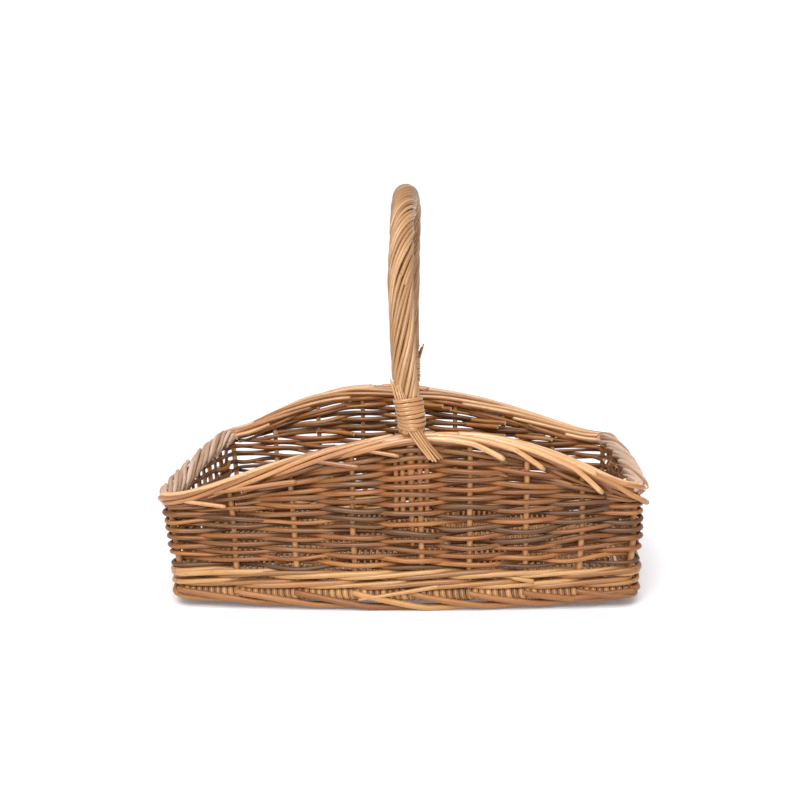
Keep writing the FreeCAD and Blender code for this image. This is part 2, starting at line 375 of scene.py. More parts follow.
# ---- finishes ------------------------------------------------------------------------------------
class Value:
    """A number in a material. Sums and products of these add the Math nodes that work them out."""

    def __init__(self, paint, socket):
        self.paint = paint
        self.socket = socket

    def maths(self, operation, first, second=0.0):
        return self.paint.node("ShaderNodeMath", {"operation": operation}, {0: first, 1: second})

    def __add__(self, other):
        return self.maths("ADD", self, other)

    def __sub__(self, other):
        return self.maths("SUBTRACT", self, other)

    def __rsub__(self, other):
        return self.maths("SUBTRACT", other, self)

    def __mul__(self, other):
        return self.maths("MULTIPLY", self, other)

    __radd__ = __add__
    __rmul__ = __mul__


class Paint:
    """A material in the making."""

    def __init__(self, name):
        self.material = bpy.data.materials.new(name)
        self.material.use_nodes = True
        self.tree = self.material.node_tree
        self.tree.nodes.clear()

    def node(self, kind, settings=None, inputs=None, output=0):
        """Adds a node: its settings first, then its inputs' values or links. Gives one of its
        outputs, if any.
        """
        made = self.tree.nodes.new(kind)
        for key, value in (settings or {}).items():
            if key == "stops":
                self.set_stops(made.color_ramp, value)
            else:
                setattr(made, key, value)
        for key, value in (inputs or {}).items():
            if isinstance(value, Value):
                self.tree.links.new(value.socket, made.inputs[key])
            else:
                made.inputs[key].default_value = value
        return None if output is None else Value(self, made.outputs[output])

    def set_stops(self, ramp, stops):
        while len(ramp.elements) < len(stops):
            ramp.elements.new(1.0)
        for element, (place, value) in zip(ramp.elements, stops):
            element.position = place
            element.color = value

    def vector(self, operation, first, second):
        return self.node("ShaderNodeVectorMath", {"operation": operation}, {0: first, 1: second})

    def between(self, value, low, high):
        """0 up to low, 1 from high, and a smooth rise between them."""
        settings = {"interpolation_type": "SMOOTHSTEP"}
        inputs = {"Value": value, "From Min": low, "From Max": high}
        return self.node("ShaderNodeMapRange", settings, inputs)

    def noise(self, vector, scale, detail=2.0):
        inputs = {"Vector": vector, "Scale": scale, "Detail": detail}
        return self.node("ShaderNodeTexNoise", None, inputs)

    def mix(self, factor, first, second, blend="MIX"):
        settings = {"data_type": "RGBA", "blend_type": blend, "clamp_factor": True}
        return self.node("ShaderNodeMix", settings, {0: factor, 6: first, 7: second}, output=2)

    def surface(self, **inputs):
        shader = self.node("ShaderNodeBsdfPrincipled", None, inputs)
        self.node("ShaderNodeOutputMaterial", None, {"Surface": shader}, output=None)
        return self.material


def colour(red, green, blue):
    """A screen colour, each part from 0 to 255, as linear light."""
    parts = np.array([red, green, blue]) / 255
    linear = np.where(parts <= 0.04045, parts / 12.92, ((parts + 0.055) / 1.055) ** 2.4)
    return (*linear, 1.0)


DARKER = (0.42, 0.34, 0.3, 1)                # what a dark streak or a scar multiplies the skin by
PALE_STREAK = colour(238, 206, 160)
WOOD = colour(240, 208, 160)                 # a cut end
PITH = colour(140, 92, 54)                   # the heart of a cut end
PATCH_GRAIN = (0.6, 0.6, 28.0)               # patches, streaks and scars round a rod and in each metre
STREAK_GRAIN = (3.2, 3.2, 26.0)
SCAR_GRAIN = (1.1, 1.1, 60.0)
STREAK_RELIEF = 0.25
STREAK_DEPTH = 0.0004                        # metres


def willow(name, tones, streak=0.35, mottle=0.25, spots=0.5, rough=0.5, coat=0.0, gloss=0.4):
    """A willow rod's skin. Its tone picks a colour; fine streaks, soft patches and dark bud scars
    follow the grain.

    The grain's x and y lie on a unit circle round the rod, so less than that is the wood of a cut
    end, and pith.
    """
    paint = Paint(name)
    grain = paint.node("ShaderNodeAttribute", {"attribute_name": "grain"}, None, "Vector")
    tint = paint.node("ShaderNodeAttribute", {"attribute_name": "tint"}, None, "Vector")
    tone = paint.node("ShaderNodeSeparateXYZ", None, {0: tint}, "X")
    seed = paint.node("ShaderNodeSeparateXYZ", None, {0: tint}, "Y")
    shift = paint.node("ShaderNodeCombineXYZ", None, {0: seed * 37.0, 1: seed * 11.0, 2: seed * 5.0})

    def along_grain(scale):
        return paint.vector("ADD", paint.vector("MULTIPLY", grain, scale), shift)

    patches = paint.noise(along_grain(PATCH_GRAIN), 1.0)
    streaks = paint.noise(along_grain(STREAK_GRAIN), 1.0, 4.0)
    speckle = {"Vector": along_grain(SCAR_GRAIN), "Scale": 1.0}
    scars = paint.node("ShaderNodeTexVoronoi", None, speckle, "Distance")

    stops = [(i / (len(tones) - 1), colour(*tone_colour)) for i, tone_colour in enumerate(tones)]
    base = paint.node("ShaderNodeValToRGB", {"stops": stops}, {0: tone + (patches - 0.5) * (2 * mottle)})
    dark = paint.mix(1.0, base, DARKER, "MULTIPLY")
    pale = paint.mix(0.35, base, PALE_STREAK)
    streaked = paint.mix(paint.between(streaks, 0.52, 0.3) * streak, base, dark)
    streaked = paint.mix(paint.between(streaks, 0.55, 0.75) * streak, streaked, pale)
    scarred = paint.mix(paint.between(scars, 0.22, 0.08) * spots, streaked, dark)

    plan = paint.vector("MULTIPLY", grain, (1, 1, 0))
    reach = paint.node("ShaderNodeVectorMath", {"operation": "LENGTH"}, {0: plan}, "Value")
    pith = paint.mix(paint.between(reach, 0.3, 0.12), WOOD, PITH)
    skinned = paint.mix(paint.between(reach, 0.8, 0.9), pith, scarred)

    carved = {"Strength": STREAK_RELIEF, "Distance": STREAK_DEPTH, "Height": streaks}
    bump = paint.node("ShaderNodeBump", None, carved)
    return paint.surface(
        **{
            "Base Color": skinned,
            "Roughness": rough,
            "Specular IOR Level": gloss,
            "Coat Weight": coat,
            "Coat Roughness": 0.25,
            "Normal": bump,
        }
    )


BROWN = [
    (88, 53, 25), (104, 64, 28), (126, 76, 32), (144, 88, 38),
    (112, 74, 37), (142, 80, 32), (168, 112, 54),
]
BUFF = [(118, 72, 34), (144, 94, 48), (168, 116, 64), (190, 142, 88)]
PALE_BUFF = [(142, 88, 44), (172, 116, 66), (196, 142, 90), (214, 170, 122)]
# grey-pink colours for the end borders: a painted highlight, the sheen on their rods painted into the
# colour
END_SHEEN_GREYS = [(160, 122, 98), (192, 158, 134), (214, 184, 162)]
BARKED = [(132, 82, 42), (150, 98, 53), (168, 115, 65), (186, 136, 84)]
POLISHED = [(138, 94, 55), (164, 120, 76), (188, 146, 101)]
SPLIT = [(148, 98, 54), (174, 122, 72), (194, 146, 96)]
UPRIGHT = [(162, 106, 60), (186, 132, 82), (204, 152, 100)]
UNDERFOOT = [(116, 72, 40), (150, 100, 58), (180, 130, 80)]

brown_willow = willow("brown_willow", BROWN, streak=0.5, mottle=0.3, spots=0.6, rough=0.48, coat=0.25)
packing_willow = willow(
    "packing_willow", BROWN, streak=0.55, mottle=0.35, spots=0.6, rough=0.48, coat=0.25
)
stake_willow = willow("stake_willow", UPRIGHT, coat=0.1)
floor_willow = willow("floor_willow", UNDERFOOT, coat=0.05)
foot_willow = willow("foot_willow", BARKED, coat=0.12)
wale_willow = willow("wale_willow", BUFF, rough=0.42, coat=0.4)
border_willow = willow(
    "border_willow", PALE_BUFF, streak=0.6, mottle=0.4, spots=0.7, rough=0.36, coat=0.7, gloss=0.5
)
# the end borders' finish: its grey-pink colours are painted highlight standing for the rods' sheen
sheen_grey_willow = willow("sheen_grey_willow", END_SHEEN_GREYS, streak=0.5, mottle=0.3, rough=0.6)
handle_willow = willow("handle_willow", POLISHED, rough=0.38, coat=0.5, gloss=0.5)
split_willow = willow("split_willow", SPLIT, streak=0.4, spots=0.2, rough=0.32, coat=0.9)


# ---- the floor and the uprights ------------------------------------------------------------------
STICK_RADIUS = 3.4
STICK_COUNT = 7
STICK_PITCH = 50.0
STICK_HALF_LENGTH = 228.0
WEAVER_PITCH = 3.4
WEAVER_THIN = 1.65
WEAVER_SWING = 4.9         # how far a floor weaver passes over and under the sticks' middle
LOOP_DROP = 5.2            # how far it drops where it turns back at an edge
LOOP_REACH = 3.5
EDGE_THICKER = 1.75        # how much thicker it is drawn there, where the next row's loop lies on it
FLOOR_LEVEL = (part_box("base_weave")[0][2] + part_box("base_weave")[1][2]) / 2 / MM


def floor_edge(x):
    """How far the floor reaches across at x: a parabola, less a quarter of a circle at each corner."""
    share = np.clip(np.abs(x) / (BASE_HALF_LENGTH - CORNER_RADIUS), 0, 1)
    corner = np.clip((np.abs(x) - BASE_HALF_LENGTH + CORNER_RADIUS) / CORNER_RADIUS, 0, 0.9)
    rounded = CORNER_RADIUS * (1 - np.sqrt(1 - corner**2))
    return BASE_HALF_WIDTH - 2.5 + SIDE_BULGE * (1 - share**2) - rounded


def floor_weave():
    """One weaver that goes to and fro across the sticks, over one and under the next, and loops round
    both edges.

    Along a row its height is a cosine of the distance across. A loop drops down the edge and back in
    underneath.
    """
    rows = int(2 * (BASE_HALF_LENGTH - 6) / WEAVER_PITCH)
    rods = []
    for row in range(rows):
        x = (row - (rows - 1) / 2) * WEAVER_PITCH
        way = 1 if row % 2 else -1
        reach = floor_edge(x)
        y = np.linspace(-reach, reach, 56) * way
        edge = np.clip((np.abs(y) - STICK_PITCH * 3) / (reach - STICK_PITCH * 3), 0, 1)
        over = np.cos(math.pi * (y / STICK_PITCH + row)) * (1 - edge) + edge * np.sign(y * way)
        height = FLOOR_LEVEL + WEAVER_SWING * over + wander(y, 0.2, 60)
        line = np.stack([x + wander(y, 0.25, 90), y, height], 1)
        turn = np.linspace(0, 1, 8)[1:]
        loop = np.stack([
            x + (WEAVER_PITCH + WEAVER_PITCH * 0.1) * turn**3,
            y[-1] + way * LOOP_REACH * np.sin(math.pi * turn),
            FLOOR_LEVEL + LOOP_DROP * np.cos(math.pi * turn),
        ], 1)
        path = np.concatenate([line, loop])
        at_edge = np.exp(-(((np.abs(path[:, 1]) - reach - 3) / 9) ** 2))
        radius = WEAVER_THIN * rng.uniform(0.92, 1.05)
        thick = radius + EDGE_THICKER * at_edge, np.full(len(path), radius)
        rods.append(rod(path, thick, (1.0, 0, 0), sides=6, swell=0.03))
    return rods


def stand(u, low, high, radius, shift=0.0, lean=0.6, slant=(0, 0)):
    """An upright rod in the middle of the wall, a little bent."""
    z = np.linspace(low, high, max(int((high - low) / 5), 8))
    points = wall(u + wander(z, lean / BAY, 120) + shift / BAY, z, wander(z, 0.3, 90))
    taper = np.linspace(1.06, 0.9, len(z))
    return rod(points, radius * taper, outward(u), slant=slant)


# ---- the woven walls -----------------------------------------------------------------------------
def swing(u, parity, by_handle):
    """From -1, inside a stake, to 1, outside it: the tanh of a cosine.

    by_handle squares it off in the middle of the long sides, where it has to pass the handle's feet.
    """
    away, _, long = from_middle(u)
    stiff = 0.5 + 2.6 * by_handle * np.where(long, np.exp(-((away / 0.5) ** 2)), 0)
    return np.tanh(stiff * np.cos(math.pi * (u + parity))) / np.tanh(stiff)


SWAYS = (                  # where the rows climb or fall, by how much, and over how many bays
    (8.3, 8.0, 2.0), (5.2, -3.5, 1.7), (0.0, 2.5, 1.5),
    (14.5, -3.0, 2.5), (19.0, 3.0, 2.0), (25.0, -2.5, 2.0),
)


def sway(u):
    """How the rows climb and fall on their way round: a sum of bell curves, a few millimetres high."""
    where, rise, spread = np.array(SWAYS).T
    away = (np.asarray(u, float)[..., None] - where + BAYS / 2) % BAYS - BAYS / 2
    return (rise * np.exp(-((away / spread) ** 2))).sum(-1)


WEAVE_ROWS = 14
WEAVER_BUTT = 2.8
WEAVER_TIP = 2.0
RUN_ON = 0.35              # bays that a rod runs on past the stakes where it starts and ends
CLIMB = 2.4                # how much a weaver climbs on its way
TUCK = 2.6                 # how far a weaver's start is tucked in, and its end, half as far, out
SNUG = 0.8                 # the share of its radius by which a rod's middle clears the stakes


def weave_rows():
    """Plain weaving round all four walls: each row is a few tapering rods, in front of one stake,
    behind the next.

    A rod's height is its row's, plus the sways, which are strongest halfway up, and a slow drift.
    """
    shared = {side: [] for side in SIDES}
    for row in range(WEAVE_ROWS):
        parity = row % 2
        share = (row + 0.5) / WEAVE_ROWS
        level = WALE_TOP + share * (END_TOP - WALE_TOP)
        start = int(rng.integers(0, BAYS // 2)) * 2 + 1 - parity
        joins = [start]
        while joins[-1] < start + BAYS - 14:
            joins.append(joins[-1] + int(rng.integers(4, 7)) * 2)
        joins.append(start + BAYS)
        for first, last in zip(joins, joins[1:]):
            u = places(first - RUN_ON, last + RUN_ON)
            s = (u - u[0]) * BAY
            radius = (WEAVER_BUTT + (WEAVER_TIP - WEAVER_BUTT) * s / s[-1]) * rng.uniform(0.87, 1.1)
            height = level + sway(u) * math.sin(math.pi * share**0.7) + tilt(u) * share
            height = height + wander(s, 1.5, 100) + CLIMB * (s / s[-1] - 0.5)
            side = swing(u, parity, share > 0.35)
            tuck = np.exp(-(((u - first) / 0.5) ** 2)) - 0.5 * np.exp(-(((u - last) / 0.5) ** 2))
            out = side * (STAKE_RADIUS + radius * SNUG) - TUCK * tuck
            share_out(shared, rod(wall(u, height, out), radius, outward(u)), u)
    return shared


PACKING_RADIUS = 2.95
RIGHT_FURTHER = 0.35       # bays that the right half's rows reach further
PACKING_ROOM = 4.4         # the height that a packing row needs to keep its full thickness
PACKING_REACH = (3.6, 2.7, 3.2, 1.5, 2.4, 3.0, 1.0, 2.2, 2.8, 1.8, 0.8, 2.5, 3.9)   # bays


def packing_rows(centre):
    """Short rows that fill a hump. Rows that stop before the corners let the others draw together.

    A row's weight is 1 as far as it reaches, and falls smoothly to 0. The room is shared out by these
    weights.
    """
    u = places(-LONG_BAYS // 2, LONG_BAYS // 2)
    low = END_TOP - 0.5 + 0.8 * tilt(u + centre)
    room = top_line(u + centre) - BORDER_DEPTH + 4.5 - low
    rows = len(PACKING_REACH)
    left = np.array(PACKING_REACH) + rng.uniform(-0.2, 0.2, rows)
    right = np.array(PACKING_REACH) + RIGHT_FURTHER + rng.uniform(-0.2, 0.2, rows)
    ends = np.where(u[None] < 0, left[:, None], right[:, None])
    weight = 1 / (1 + np.exp((np.abs(u[None]) - ends) * 7))
    total = weight.sum(0) + 0.001
    rank = (np.cumsum(weight, 0) - weight / 2) / total
    rods = []
    for row in range(rows):
        inside = np.flatnonzero(np.abs(u) < ends[row] + RUN_ON)
        v = u[inside]
        s = (v - v[0]) * BAY
        height = low[inside] + room[inside] * rank[row][inside] + wander(s, 1.0, 130)
        taper = np.linspace(0, 1, len(v))
        taper = 1 - taper if row % 3 == 1 else taper
        radius = PACKING_RADIUS * rng.uniform(0.9, 1.06) * (1.06 - 0.2 * taper)
        thin = np.clip(room[inside] * weight[row][inside] / total[inside] / PACKING_ROOM, 0.7, 1)
        out = swing(v + centre, row % 2, True) * (STAKE_RADIUS + radius * SNUG)
        path = wall(v + centre, height, out)
        rods.append(rod(path, radius * thin, outward(v + centre), slant=(0.5, 0.5)))
    return rods


CUT_ENDS = (               # bays from the middle, and share of the packing's height
    (-2.05, 0.52), (-1.9, 0.43), (-2.05, 0.22), (-3.0, 0.15), (-0.75, 0.9), (-0.92, 0.84), (1.2, 0.3),
)
CUT_END_LENGTH = 0.75      # bays
CUT_END_RADIUS = 3.0


def cut_ends(centre):
    """Where the packing rods were joined: short butts that lean in from the inside of the wall, with
    a cut end.
    """
    rods = []
    for away, share in CUT_ENDS:
        t = np.linspace(0, 1, 16)
        u = centre + away + CUT_END_LENGTH * (1 - t)
        height = END_TOP + share * (HUMP_TOP - BORDER_DEPTH - END_TOP) - 3 * t + wander(t * 50, 0.4, 60)
        out = -2.0 - 12.0 * t
        path = wall(u, height, out)
        rods.append(rod(path, CUT_END_RADIUS, outward(u), tone=0.95, slant=(0, 0.2)))
    return rods


WALE_RADIUS = 2.75
WALE_CROSSING = 2.9        # how far a wale rod rises and falls about the middle of its band
WALE_PEGS = (              # first and last place, and the heights there, of short pegs
    (3.05, 4.45, 13.0, 27.0), (5.75, 6.15, 36.0, 31.5), (15.2, 16.5, 20.0, 29.0),
)


def wale_bands():
    """Two bands of three rods. Each rod passes in front of two stakes, climbing, and behind the
    third.

    Its height and its place in or out are cosines of the same phase, which takes three bays to come
    round.
    """
    shared = {side: [] for side in SIDES}
    depth = (WALE_TOP - FOOT_TOP) / 2
    start = CORNERS[3] + 0.5
    for band in range(2):
        for strand in range(3):
            u = places(start, start + BAYS + 0.6)
            s = (u - u[0]) * BAY
            phase = ((u - strand + 1.4 * band) / 3) % 1.0
            lift = np.where(phase < 2 / 3, phase * 0.75, 0.5 + (phase - 2 / 3) * 1.5)
            radius = WALE_RADIUS * (1 + 0.12 * np.sin(2 * math.pi * s / 700 + 2 * strand + band))
            height = FOOT_TOP + depth * (band + 0.5) - WALE_CROSSING * np.cos(2 * math.pi * lift)
            height = height + wander(s, 0.9, 170)
            front = np.cos(2 * math.pi * (phase - 1 / 3))
            out = np.tanh(2.0 * (front + 0.5)) * (STAKE_RADIUS + radius * 0.85) + 0.6
            share_out(shared, rod(wall(u, height, out), radius, outward(u)), u)
    for first, last, low, high in WALE_PEGS:
        u = places(first, last)
        t = way_along(u)
        path = wall(u, low + (high - low) * t, 9.0 - 1.5 * t**2)
        peg = rod(path, 1.3 + 1.2 * t**0.5, outward(u), tone=0.9)
        shared["front" if first < LONG_BAYS else "back"].append(peg)
    return shared


FOOT_RADIUS = 3.35
FOOT_RUN = 2.5             # bays that a foot rod runs
FOOT_OUT = 7.4             # how far it stands out, before it goes in under the next rods


def foot_rods():
    """Each stake's end is bent out under the wale and runs on along the foot, sinking beneath the
    ones after it.

    Its height falls as a power of the distance, until it lies on the ground. Two corners have a stub.
    """
    shared = {side: [] for side in SIDES}
    for stake in range(BAYS):
        u = places(stake - 0.05, stake + FOOT_RUN)
        t = np.maximum(u - stake, 0)
        radius = FOOT_RADIUS * rng.uniform(0.92, 1.06) * (1 - 0.06 * t)
        ground = rocker(u) + radius + 0.15
        fall = np.clip(1 - t / 1.3, 0, 1) ** 1.2
        height = ground + (FOOT_TOP - 4.0 - ground) * fall + wander(t * BAY, 0.4, 120)
        bend = np.exp(-(t + 0.05) / 0.05)
        under = np.clip((t - 0.8) / 1.4, 0, 1)
        path = wall(u, np.maximum(height, ground), FOOT_OUT - 7.0 * bend - 7.0 * under)
        share_out(shared, rod(path, radius, outward(u), slant=(0, 0.7)), u)
    for corner, side in ((LONG_BAYS, "front"), (2 * LONG_BAYS + END_BAYS, "back")):
        begin, finish = wall(np.array([corner - 1.1, corner - 0.08]), np.array([12.5, 18.0]), 8.5)
        beyond = (finish - begin) * 1.1 + begin
        path = begin + np.linspace(0, 1, 20)[:, None] * (beyond - begin)
        shared[side].append(rod(path, FOOT_RADIUS * 0.95, (0, 0, 1.0), slant=(0, 0.3)))
    return shared


BORDER_RADIUS = 2.7
BORDER_LAY = 5.3           # bays that a border rod takes to cross from the inside to the outside
END_TURN = 64.0            # degrees that an end's border rod turns in each bay
BORDER_GAP = 1.0           # bays from one border rod's start to the next


BORDER_WIDE = 7.0          # how far from the border's middle its rods lie, across it
POKE_LENGTH = 30.0         # the last stretch of a rod that leaves the border, and its drop
POKE_DROP = 10.5


def lay_border(first, span, angles, poke, radius, wide=BORDER_WIDE):
    """One border rod, turning round the border's middle from one angle to another: out is a cosine,
    height a sine.

    With poke, its last stretch leaves the border downwards, and is cut off there.
    """
    u = places(min(first, first + span), max(first, first + span))
    if span < 0:
        u = u[::-1]
    t = way_along(u)
    s = np.abs(u - u[0]) * BAY
    angle = np.radians(angles[0] + (angles[1] - angles[0]) * t) + wander(s, 0.12, 170)
    leave = poke * np.clip(1 - (s[-1] - s) / POKE_LENGTH, 0, 1)
    middle = BORDER_DEPTH / 2
    deep = wander(s, 0.9, 140)
    out = 1.2 - (wide + deep) * np.cos(angle) * (1 - leave) + (wide + 2.0) * leave
    height = top_line(u) - middle - 0.5 + (middle + 0.5 - radius + deep) * np.sin(angle) * (1 - leave)
    height = height - POKE_DROP * leave**1.3
    return u, wall(u, height, out), radius * (1.05 - 0.1 * t + 0.06 * leave)


def corner_sink(u, low, high):
    """How far a border's rods have gone in under the next side's: squares that grow from 0 near each
    corner.
    """
    return sum(np.clip((near + 0.25) / 0.4, 0, 1.6) ** 2 for near in (low - u, u - high))


TOP_RODS = (               # first and last place from the middle, and the angles there, in degrees
    (-0.32, -4.1, (74, 118)), (0.72, 4.1, (62, 120)), (0.8, 3.2, (84, 150)),
)
STUBS = (                  # where a stub ends, its length, and whether it slopes as the hump does
    (-3.05, 0.7, 0), (-1.9, 1.35, 1), (-0.85, 0.7, 0), (-0.2, 0.55, 0),
)
# painted shade: the filler rods in the border's middle take the darkest colour, so the gaps between rods
# look shaded
HEART_SHADE_TONE = -0.6          # the rods in the border's middle are darker than any that show


def long_border(centre):
    """A long side's border. From the handle to each corner, rods cross one after another from inside
    to outside.

    Those that reach the outside before the right corner are cut off below it. Those on the left end
    underneath, and short stubs stand out below them. A few rods run along the top, in the palest
    tone as a painted highlight, and two in the darkest colour fill the middle as painted shade.
    """
    rods = []
    low, high = centre - LONG_BAYS // 2, centre + LONG_BAYS // 2
    for way in (1, -1):
        for first in np.arange(1.5 - BORDER_LAY, 3.6, BORDER_GAP):
            first = first + rng.uniform(-0.12, 0.12)
            begin = max(first, rng.uniform(-0.6, 0.0))
            finish = min(first + BORDER_LAY + rng.uniform(-0.2, 0.2), 4.35)
            if way > 0 and finish - first > 0.9 * BORDER_LAY:
                finish = min(finish, 4.1)
            at = [(x - first) / BORDER_LAY for x in (begin, finish)]
            if finish - begin < 0.7:
                continue
            angles = [-30 + (225 if way > 0 else 250) * a for a in at]
            radius = BORDER_RADIUS * rng.uniform(0.86, 1.16)
            poke = float(way > 0 and at[1] > 0.9)
            span = way * (finish - begin)
            u, path, radius = lay_border(centre + way * begin, span, angles, poke, radius)
            path[:, 2] -= 3.0 * corner_sink(u, low, high)
            if way < 0 and at[1] > 0.9:
                path -= outward(u) * (9.0 * np.clip(1 - np.abs(u - u[-1]) / 0.5, 0, 1) ** 1.5)[:, None]
            tone = rng.uniform(0.1, 1.0)
            rods.append(rod(path, radius, outward(u), tone=tone, slant=(0, 0.9)))
    for begin, finish, angles in TOP_RODS:
        u, path, radius = lay_border(centre + begin, finish - begin, angles, 0.0, BORDER_RADIUS * 1.05)
        path[:, 2] += 1.3 - 2.5 * corner_sink(u, low, high)
        # the rods along the top take the palest tone: a painted highlight along the border's crown
        rods.append(rod(path, radius, outward(u), tone=0.95, slant=(-0.5, 0.5)))
    for away, length, follow in STUBS:
        u = centre + places(away - length, away)
        t = way_along(u)
        begin = float(top_line(u[0]))
        height = begin + follow * (top_line(u) - begin) - 9.5 - (5.5 + 9.0 * follow) * t
        path = wall(u, height, 6.0 + 4.5 * t**0.7)
        rods.append(rod(path, rng.uniform(2.1, 2.5), outward(u), slant=(0, 0.7)))
    # two filler rods in the darkest colour: painted shade in the border's middle
    for depth in (-2.3, 2.3):
        u = places(low - 0.12, high + 0.12)
        path = wall(u, top_line(u) - BORDER_DEPTH / 2 - 1.5 + depth * 0.6, 1.2 + depth)
        rods.append(rod(path, 3.6, outward(u), tone=HEART_SHADE_TONE))
    return rods


PEG_DRIVEN = 30.0          # how far down the weave the peg in the right front corner goes


def end_border(low, high):
    """An end's border: pairs of rods that start inside, cross the top at a long slant and are cut off
    outside.

    They run against the way of the long sides' rods, and turn by the same angle in each bay. A pair's
    cut ends stand a little proud. On the right end the starts show too, and a peg stands inside the
    front corner. On the left end the starts are sunk.
    """
    rods = []
    right = low == CORNERS[1]
    begin_angle, begin_lift = (22.0, 0.6) if right else (0.0, -2.5)
    for first in np.arange(high + 1.7, low - 0.3, -1.0):
        for behind, size in ((0.0, 2.9), (33.0, 2.6)):
            begin = first + rng.uniform(-0.06, 0.06)
            lay = 2.5 + rng.uniform(-0.12, 0.12)
            radius = size * rng.uniform(0.92, 1.06)
            angle = begin_angle - behind + rng.uniform(-5, 5)
            angles = (angle, angle + END_TURN * lay)
            u, path, radius = lay_border(begin, -lay, angles, 0.0, radius, wide=8.0)
            lift = begin_lift + (1.1 - begin_lift) * (begin - u) / lay
            path[:, 2] += lift - 6.0 * corner_sink(u, low, high)
            keep = np.flatnonzero((u >= low - 0.12) & (u <= high + 0.12))
            if len(keep) > 6:
                rods.append(rod(path[keep], radius[keep], outward(u[keep]), slant=(0.3, 0.3)))
    # two filler rods in the darkest colour: painted shade in the border's middle
    for depth in (-2.8, 2.8):
        u = places(low, high)
        path = wall(u, top_line(u) - BORDER_DEPTH / 2 - 2.0, 1.0 + depth)
        rods.append(rod(path, 3.8, outward(u), tone=HEART_SHADE_TONE))
    if right:
        z = np.linspace(END_TOP - PEG_DRIVEN, CORNER_TOP - 1, 16)
        driven = np.clip((END_TOP - z) / PEG_DRIVEN, 0, 1)
        rods.append(rod(wall(low + 0.6, z, -9.5 + 6.5 * driven), 3.3, (1.0, 0, 0), tone=1.0))
    return rods


# ---- the handle ----------------------------------------------------------------------------------
ROPING_RADIUS = 13.5
ROPE_RADIUS = 12.9
BOW_RADIUS = 5.5
STRANDS = 16
STRAND_RADIUS = 2.1
BOW_FOOT = 70.0
LEG_ASKEW = 12.0           # how far the front foot stands to the right, and the back foot to the left
KINK_TOP = 205.0           # the front leg is askew below this, and comes back to the middle above it
KINK_RISE = 60.0           # the height over which it has come back by all but a third


def handle_line():
    """The handle's centreline from the front border to the back one: an ellipse that carries on the
    walls' lean.

    Sideways, the front leg comes back to the middle as an exponential of its height, and the back leg
    leaves it as the 2.5th power of the distance from the crown.
    """
    foot, shoulder = wall(4.0, BOW_FOOT), wall(4.0, HUMP_TOP)
    lean = (shoulder[1] - foot[1]) / (HUMP_TOP - BOW_FOOT)
    crown = CROWN_TOP - ROPING_RADIUS
    rise = crown - HUMP_TOP
    reach_y = -shoulder[1]
    lift = -lean * rise * rise / (reach_y - 2 * lean * rise)
    middle = HUMP_TOP + lift
    height = crown - middle
    reach = reach_y / math.sqrt(1 - (lift / height) ** 2)
    start = math.acos(-lift / height)
    turn = np.linspace(-start, start, 2000)
    fine = np.stack([np.zeros_like(turn), reach * np.sin(turn), middle + height * np.cos(turn)], 1)
    s = length_along(fine)
    even = np.arange(0, s[-1], 3.0)
    line = np.stack([np.interp(even, s, column) for column in fine.T], 1)
    kink = np.exp(-np.maximum(line[:, 2] - KINK_TOP, 0) / KINK_RISE)
    kink -= math.exp((KINK_TOP - crown) / KINK_RISE)
    swept = -np.abs(line[:, 1] / line[0, 1]) ** 2.5
    line[:, 0] = 1.5 + LEG_ASKEW * np.where(line[:, 1] < 0, kink, swept) + wander(even, 0.5, 500)
    return even, line


HANDLE_S, HANDLE_LINE = handle_line()
HANDLE_FORWARD = unit(np.gradient(HANDLE_LINE, axis=0))
HANDLE_SIDE = unit(np.cross(np.cross(HANDLE_FORWARD, (1.0, 0, 0)), HANDLE_FORWARD))
HANDLE_OUT = np.cross(HANDLE_SIDE, HANDLE_FORWARD)


def on_handle(s, angle, reach):
    """Points round the handle: s along it, angle round it from the +X side, reach from its
    centreline.
    """
    centre, side, out = [
        np.stack([np.interp(s, HANDLE_S, column) for column in table.T], -1)
        for table in (HANDLE_LINE, HANDLE_SIDE, HANDLE_OUT)
    ]
    radial = np.cos(angle)[:, None] * side + np.sin(angle)[:, None] * out
    return centre + np.asarray(reach)[..., None] * radial, radial


def twist(s):
    """How far the roping has turned at s: its rate's running sum. Slowest halfway up each leg,
    fastest on top.
    """
    length = HANDLE_S[-1]
    from_end = np.minimum(HANDLE_S, length - HANDLE_S)
    slower = 0.012 * np.exp(-(((from_end - 130) / 60) ** 2))
    rate = 0.036 - slower + 0.016 * np.clip((from_end - 180) / 120, 0, 1)
    turned = np.concatenate([[0], np.cumsum(rate[1:] * np.diff(HANDLE_S))])
    return -np.interp(s, HANDLE_S, turned)


# the under layer is drawn near the darkest tone: painted shade in the gaps between the roping's strands
UNDER_STRANDS = 9          # a darker layer that fills the roping out
OVER_STRANDS = ((150, 330, 1.1), (160, 300, 1.45), (260, 420, 4.0))   # first and last s, and angle
OVER_RADIUS = 2.0


